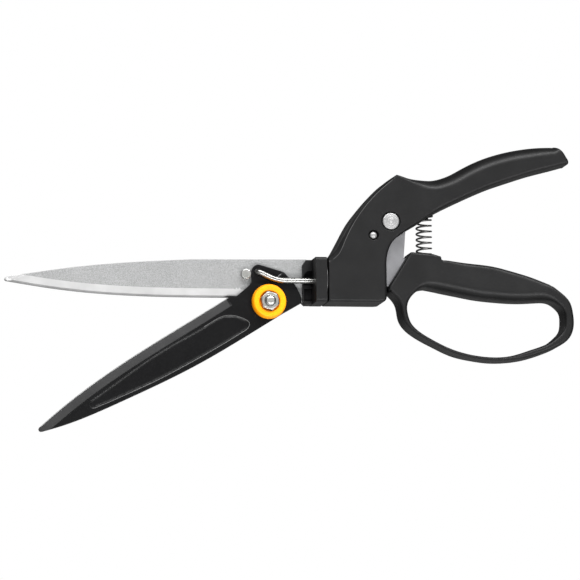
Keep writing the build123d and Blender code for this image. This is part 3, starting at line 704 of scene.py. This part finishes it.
# ------------------------------------------------------------------ fixed blade
FIXED_NEAR = 4.9
FIXED_FAR = 7.5
FACET = 1.15  # width of the honed edge
BAND = 5.3  # ground band above it
fixed_top = spline([(-166.8, 91.3), (-160.6, 92.1), (-136.6, 95.7), (-100.6, 99.6), (-58.6, 102.16)])
fixed_edge = spline(
    [(-31.0, 79.57), (-58.6, 79.56), (-100.6, 80.45), (-136.6, 83.3), (-160.6, 86.7), (-169.2, 88.1)]
)
fixed_tip = [(-169.8, 88.35), (-170.2, 88.9), (-170.1, 89.6), (-169.6, 90.3), (-168.6, 90.9)]
fixed_loop = join(
    fixed_top,
    [(10.1, 102.8), (10.1, 99.6), (18.2, 98.6), (18.2, 80.6), (7.5, 79.0), (7.5, 76.9), (-2.8, 71.0)],
    arc((-13.0, 77.4), 9.7, -40, -140, 0.5), [(-22.6, 71.8)], fixed_edge, fixed_tip,
)
band_line = join(offset_line(fixed_edge, -BAND)[3:-14], closed=False)
facet_line = join(offset_line(fixed_edge, -FACET)[1:-4], closed=False)
fixed_points, fixed_tris = flat_mesh(
    [fixed_loop], creases=[(band_line, False), (facet_line, False)],
    rings=(0.08, 0.22, 0.4), spacing=1.6,
)


def fixed_near(p):
    """Near face of the fixed blade, set back along the ground band and the honed edge."""
    d_edge = distance(p, fixed_edge, False)
    d_all = distance(p, fixed_loop)
    y = FIXED_NEAR + 0.16 * np.clip((BAND - d_edge) / BAND, 0, 1)
    y += 0.75 * np.clip((FACET - d_edge) / FACET, 0, 1)
    return y + 0.22 * (1 - roll(d_all, 0.35))


def fixed_pick(c):
    """Blasted face, ground band or honed edge."""
    d_edge = distance(c, fixed_edge, False)
    return np.where(d_edge < FACET, 2, np.where(d_edge < BAND, 1, 0))


fixed = two_sided(
    "blade_fixed", fixed_points, fixed_tris, fixed_near(fixed_points),
    FIXED_FAR - 0.22 * (1 - roll(distance(fixed_points, fixed_loop), 0.35)),
    [blasted, ground, facet], fixed_pick, angle=20,
)
place(fixed, "head", "blasted_steel", "fixed_blade")

# ------------------------------------------------------------------ moving blade
MOVING_NEAR = 2.1
MOVING_FAR = 4.6
BEVEL = 5.2  # width of the ground bevel along the cutting edge
LEDGE = 0.2  # width of the small step beside it
STRIP_END = ((-37.6, 79.2), (-35.1, 74.6))  # line that ends the bevel at the shoulder
STEP = ((-12.2, 87.8), (-5.4, 93.4))  # edge of the shallow seat round the rod's hook
STEP_WALL = 0.42  # width of its sloping side
FLAT = 0.9  # width of the honed flat along the cutting edge
BRIGHT = 0.42  # width of its bright part
PANEL_SLOPE = 0.9  # width of the slope inside the panel's border
BORDER = 0.34  # width of the panel's border
PANEL_DEPTH = 0.25  # groove inside the border, and height of the panel over the face
cut_edge = spline([(-150.2, 1.3), (-137.9, 12.0), (-101.9, 38.7), (-53.9, 69.0), (-37.6, 79.2)])
moving_low = spline(
    [(-3.2, 70.8), (-29.9, 54.3), (-53.9, 40.2), (-101.9, 16.6), (-137.9, 1.8), (-148.4, -1.3)]
)
moving_loop = join(
    cut_edge, [(-36.4, 80.1), (-32.5, 80.0), (-25.1, 86.2), (-23.1, 88.6), (-23.1, 94.5)],
    arc((-19.0, 94.9), 4.15, 184, 72, 0.5), [(-4.0, 94.9), (-1.0, 91.8)],
    spline([(-1.0, 91.8), (3.3, 86.5), (6.7, 79.2)]), [(6.7, 76.4)], moving_low,
    [(-149.5, -1.4), (-150.4, -0.9), (-150.8, 0.2)],
)
strip_end = join(STRIP_END, closed=False)
step_line = join(STEP, closed=False)
step_foot = offset_line(step_line, STEP_WALL)
bevel_line = offset_line(cut_edge, -BEVEL)[5:-2]
ledge_line = offset_line(cut_edge, -BEVEL - LEDGE)[5:-2]
panel = join(
    spline(
        [(-116.0, 19.6), (-100.7, 30.6), (-84.1, 42.4), (-64.6, 54.2), (-50.8, 62.1), (-43.8, 66.4),
         (-39.7, 68.1), (-35.6, 68.4), (-30.1, 67.3), (-26.3, 65.6)]
    ),
    spline([(-26.3, 65.6), (-24.8, 63.8), (-25.3, 62.0), (-27.0, 60.1)]),
    spline(
        [(-27.0, 60.1), (-37.1, 53.8), (-50.9, 45.6), (-64.8, 37.9), (-78.7, 30.5), (-96.0, 22.4),
         (-109.8, 16.2), (-116.0, 13.6)]
    ),
    spline([(-116.0, 13.6), (-119.3, 13.1), (-120.3, 14.4), (-116.0, 19.6)]),
)
panel_rim = grow(panel, BORDER)
moving_points, moving_tris = flat_mesh(
    [moving_loop],
    creases=[
        (bevel_line, False), (ledge_line, False), (panel, True), (panel_rim, True), (strip_end, False),
        (step_line, False), (step_foot, False),
    ],
    rings=(0.08, 0.22, 0.42, 0.8), spacing=1.1,
)


def moving_near(p):
    """Near face of the moving blade with its bevel, panel and the seat round the rod's hook."""
    d_cut = distance(p, cut_edge, False)
    in_strip = ease(beyond(p, *STRIP_END), 0.0, 0.25)
    y = MOVING_NEAR + 0.35 * np.clip((BEVEL + LEDGE - d_cut) / LEDGE, 0, 1) * in_strip
    y += 1.4 * np.clip((BEVEL - d_cut) / BEVEL, 0, 1) * in_strip
    y += 0.3 * np.clip((FLAT - d_cut) / FLAT, 0, 1) * in_strip
    d_panel = distance(p, panel)
    in_panel = inside(p, [panel]) | (d_panel < ON_LINE)
    y += np.where(in_panel, PANEL_DEPTH * (1 - 2 * np.clip(d_panel / PANEL_SLOPE, 0, 1)), 0)
    y += 0.25 * (1 - roll(distance(p, moving_loop), 0.4))
    past = beyond(p, *STEP)
    seat = (1 - ease(past, -0.4, 0.0)) * ease(past, -9.0, -2.0) * ease(p[:, 1], 86.0, 88.5)
    return y + 0.5 * seat


def moving_pick(c):
    """Coating, ground bevel, bright metal at the edge and bright metal on the seat's side as a painted
    highlight, or a painted highlight on the panel's border.
    """
    x, z = c[:, 0], c[:, 1]
    d_cut = distance(c, cut_edge, False)
    in_strip = beyond(c, *STRIP_END) > 0
    past = beyond(c, *STEP)
    pick = np.where((d_cut < BEVEL) & in_strip, 1, 0)
    pick = np.where((d_cut < BRIGHT) & in_strip, 2, pick)
    # painted highlight: the panel's border is painted lighter, except along its upper side towards the
    # tip
    border = inside(c, [panel_rim]) & ~inside(c, [panel])
    upper_side = (x < -52) & (z - 42 > 0.66 * (x + 80))
    pick = np.where(border & ~upper_side & (x > -118.5) & (pick == 0), 3, pick)
    # painted highlight: the seat's sloping side takes the bright honed metal
    return np.where((past > -STEP_WALL) & (past < 0) & (z > 91.0) & (x < STEP[1][0]), 2, pick)


moving = two_sided(
    "blade_moving", moving_points, moving_tris, moving_near(moving_points),
    MOVING_FAR - 0.2 * (1 - roll(distance(moving_points, moving_loop), 0.3)),
    [coating, bevel_grey, honed, border_highlight_coating], moving_pick, angle=18,
)
place(moving, "blade", "black_coating", "moving_blade")

# ------------------------------------------------------------------ blade pivot
pivot = (-13.3, 76.8)
disc = turned(
    "pivot_collar",
    [(3.05, 1.8), (9.9, 1.8), (10.15, 1.65), (10.25, 1.3), (10.25, -1.2), (10.15, -1.6), (9.6, -3.2),
     (9.45, -3.48), (9.2, -3.62), (8.8, -3.69), (7.5, -3.7), (6.75, -3.66), (6.35, -3.45),
     (6.15, -3.1), (6.05, -0.9), (3.05, -0.9), (3.05, 1.8)],
    pivot, orange, turns=128,
)
place(disc, "head", "orange_plastic", "pivot_disc")

TURNS = 120
CORNER = 43.0  # direction of the nut's first corner
NUT_BASE = -0.9
NUT_FACE = -5.5
FLATS = 5.1  # half width of the nut and of the bolt's head
FACE_RADIUS = 4.85  # of the round flat inside the chamfered corners
CORNER_SLOPE = 0.577
hexagon = FLATS / np.cos(np.radians(np.arange(TURNS) * 360 / TURNS % 60 - 30))
cone = (hexagon - FACE_RADIUS) * CORNER_SLOPE
corner_ring = (hexagon + FACE_RADIUS) / 2
nut = turned(
    "hex_nut",
    [(3.05, NUT_BASE), (3.05, NUT_FACE + 0.45), (3.5, NUT_FACE), (FACE_RADIUS, NUT_FACE),
     (corner_ring, NUT_FACE + cone / 2), (hexagon - 0.06, NUT_FACE + cone),
     (hexagon, NUT_FACE + cone + 0.12), (hexagon, NUT_BASE), (3.05, NUT_BASE)],
    pivot, zinc, turns=TURNS, start=CORNER, angle=22,
)
place(nut, "head", "zinc_steel", "pivot_nut")

THREAD_TOP = -6.3
BOLT_RADIUS = 2.97
thread = []
for k in range(3):
    y = THREAD_TOP + 0.9 * k
    thread += [(2.5, y), (BOLT_RADIUS, y + 0.38), (BOLT_RADIUS, y + 0.5)]
HEAD_UNDER = 7.5
HEAD_FACE = 11.1
bolt = turned(
    "pivot_screw",
    [(0, -7.1), (0.8, -7.08), (1.5, -7.02), (2.0, -6.92), (2.3, -6.78), (2.42, -6.6)]
    + thread
    + [(BOLT_RADIUS, HEAD_UNDER), (hexagon, HEAD_UNDER), (hexagon, HEAD_FACE - cone - 0.12),
       (hexagon - 0.06, HEAD_FACE - cone), (corner_ring, HEAD_FACE - cone / 2),
       (FACE_RADIUS, HEAD_FACE), (0, HEAD_FACE)],
    pivot, zinc, turns=TURNS, start=0.0, angle=22,
)
place(bolt, "head", "zinc_steel", "pivot_bolt")

# ------------------------------------------------------------------ rivets through the case
lever_head = [
    (0, 13.22), (0.45, 13.25), (0.75, 13.42), (1.75, 13.45), (1.9, 13.36), (2.05, 13.36),
    (2.2, 13.45), (3.3, 13.45), (3.42, 13.38), (3.55, 13.38), (3.67, 13.45), (4.3, 13.42),
    (4.62, 13.3), (4.82, 13.08), (4.9, 12.8), (4.9, RIVET_FLOOR), (3.0, RIVET_FLOOR),
]
lever_pin = turned(
    "lever_pin", [(r, -y) for r, y in lever_head] + lever_head[::-1], LEVER, rivet, turns=96, angle=40
)
place(lever_pin, "handle_body", "rivet_steel", "lever_rivet")
stop_head = [
    (0, 12.7), (0.5, 12.68), (1.0, 12.6), (1.45, 12.45), (1.8, 12.22), (2.02, 11.95), (2.08, 11.7),
    (2.08, 11.42), (1.9, 11.42),
]
stop_pin = turned(
    "travel_pin", [(r, -y) for r, y in stop_head] + stop_head[::-1], STOP, rivet, turns=64, angle=40
)
place(stop_pin, "handle_body", "bright_steel", "stop_rivet")

# ------------------------------------------------------------------ return spring
WIRE = 0.55
PITCH = 3.4
SIDES = 14  # of the wire
STEPS = 40  # rings in each turn of the coil
spring_low, spring_high = (np.array(tuple(corner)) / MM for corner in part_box("return_spring"))
coil_centre = (spring_low + spring_high) / 2
coil_radius = (spring_high[1] - spring_low[1]) / 2 - WIRE
rise = spring_high[2] - spring_low[2] - 2 * WIRE
turn = np.linspace(0, 2 * math.pi * rise / PITCH, int(STEPS * rise / PITCH))
outward = np.stack([np.cos(turn), np.sin(turn), 0 * turn], 1)
course = coil_centre * (1, 1, 0) + coil_radius * outward
course[:, 2] = spring_low[2] + WIRE + PITCH * turn / (2 * math.pi)
along = np.gradient(course, axis=0)
along /= np.linalg.norm(along, axis=1)[:, None]
upward = np.cross(along, outward)
# rings of the tube: index on the course, share of the wire's radius, distance past the end
at = np.array([0, 0, *range(len(turn)), -1, -1])
share = np.array([0.5, 0.87, *[1.0] * len(turn), 0.87, 0.5])
past = np.array([-0.8, -0.45, *[0.0] * len(turn), 0.45, 0.8])
around = np.arange(SIDES)[:, None] * 2 * math.pi / SIDES
centres = course[at] + past[:, None] * WIRE * along[at]
sides = np.cos(around) * outward[at][:, None] + np.sin(around) * upward[at][:, None]
coil_verts = (centres[:, None] + share[:, None, None] * WIRE * sides).reshape(-1, 3) * MM
coil_faces = [
    (r * SIDES + k, r * SIDES + (k + 1) % SIDES, (r + 1) * SIDES + (k + 1) % SIDES, (r + 1) * SIDES + k)
    for r in range(len(at) - 1)
    for k in range(SIDES)
]
coil_faces += [tuple(range(SIDES)), tuple(range(len(coil_verts) - SIDES, len(coil_verts)))]
coil_mesh = bpy.data.meshes.new("coil_spring")
coil_mesh.from_pydata(coil_verts.tolist(), [], coil_faces)
coil_mesh.materials.append(wire)
coil = finish_mesh("coil_spring", coil_mesh, 50)
place(coil, "handle_body", "spring_steel", "return_spring")
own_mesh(coil)

# ------------------------------------------------------------------ floor, light and camera
FLOOR_Z = -0.5
FLOOR_SIZE = 3.0
corners = [(x * FLOOR_SIZE, y * FLOOR_SIZE, FLOOR_Z) for x, y in ((-1, -1), (1, -1), (1, 1), (-1, 1))]
floor_mesh = bpy.data.meshes.new("floor")
floor_mesh.from_pydata(corners, [], [(0, 1, 2, 3)])
floor = bpy.data.objects.new("floor", floor_mesh)
bpy.context.scene.collection.objects.link(floor)
floor_mesh.materials.append(
    surface("floor_paint", (0.80, 0.80, 0.80), (0.84, 0.84, 0.84), (0.7, 0.8), grain=60.0, depth=0.05,
            patch=3.0)
)

world = bpy.data.worlds.new("studio")
bpy.context.scene.world = world
world.use_nodes = True
sky = world.node_tree
# white behind the object, and a dim even light on it
seen = sky.nodes["Background"]
lit = sky.nodes.new("ShaderNodeBackground")
for background, strength in ((seen, 1.0), (lit, 0.08)):
    background.inputs["Color"].default_value = (1, 1, 1, 1)
    background.inputs["Strength"].default_value = strength
path = sky.nodes.new("ShaderNodeLightPath")
choose = sky.nodes.new("ShaderNodeMixShader")
sky.links.new(path.outputs["Is Camera Ray"], choose.inputs["Fac"])
sky.links.new(lit.outputs["Background"], choose.inputs[1])
sky.links.new(seen.outputs["Background"], choose.inputs[2])
sky.links.new(choose.outputs["Shader"], sky.nodes["World Output"].inputs["Surface"])

middle = Vector((-0.0006, 0.0, 0.0853))  # the point that the camera and the lights face


def softbox(name, place_at, size, power):
    """Soft rectangular light that faces the object."""
    data = bpy.data.lights.new(name, "AREA")
    data.shape = "RECTANGLE"
    data.size, data.size_y = size
    data.energy = power
    lamp = bpy.data.objects.new(name, data)
    lamp.location = place_at
    lamp.rotation_euler = (middle - Vector(place_at)).to_track_quat("-Z", "Y").to_euler()
    lamp.visible_camera = False
    bpy.context.scene.collection.objects.link(lamp)


softbox("front_panel", (0.0, -1.1, 0.1), (2.2, 2.0), 9.5)
softbox("upper_strip", (0.1, -0.7, 0.95), (1.6, 0.16), 26.0)
softbox("lower_strip", (0.2, -0.9, -0.45), (1.2, 0.12), 9.0)
softbox("back_right", (1.1, 0.9, 0.9), (0.7, 0.7), 5.0)
softbox("back_left", (-1.1, 0.9, 0.9), (0.7, 0.7), 5.0)

AZIMUTH = math.radians(-9.5)
ELEVATION = math.radians(-7.0)
ROLL = math.radians(-0.55)
REACH = 4.0  # distance of the camera, m
FOCAL = 419.0  # mm
view_from = middle + REACH * Vector(
    (
        math.sin(AZIMUTH) * math.cos(ELEVATION),
        -math.cos(AZIMUTH) * math.cos(ELEVATION),
        math.sin(ELEVATION),
    )
)
lens = bpy.data.cameras.new("camera")
lens.lens = FOCAL
lens.sensor_width = 36.0
camera = bpy.data.objects.new("camera", lens)
camera.location = view_from
facing = (middle - view_from).to_track_quat("-Z", "Y").to_matrix() @ Matrix.Rotation(ROLL, 3, "Z")
camera.rotation_euler = facing.to_euler()
bpy.context.scene.collection.objects.link(camera)
bpy.context.scene.camera = camera
bpy.context.scene.view_settings.view_transform = "Standard"
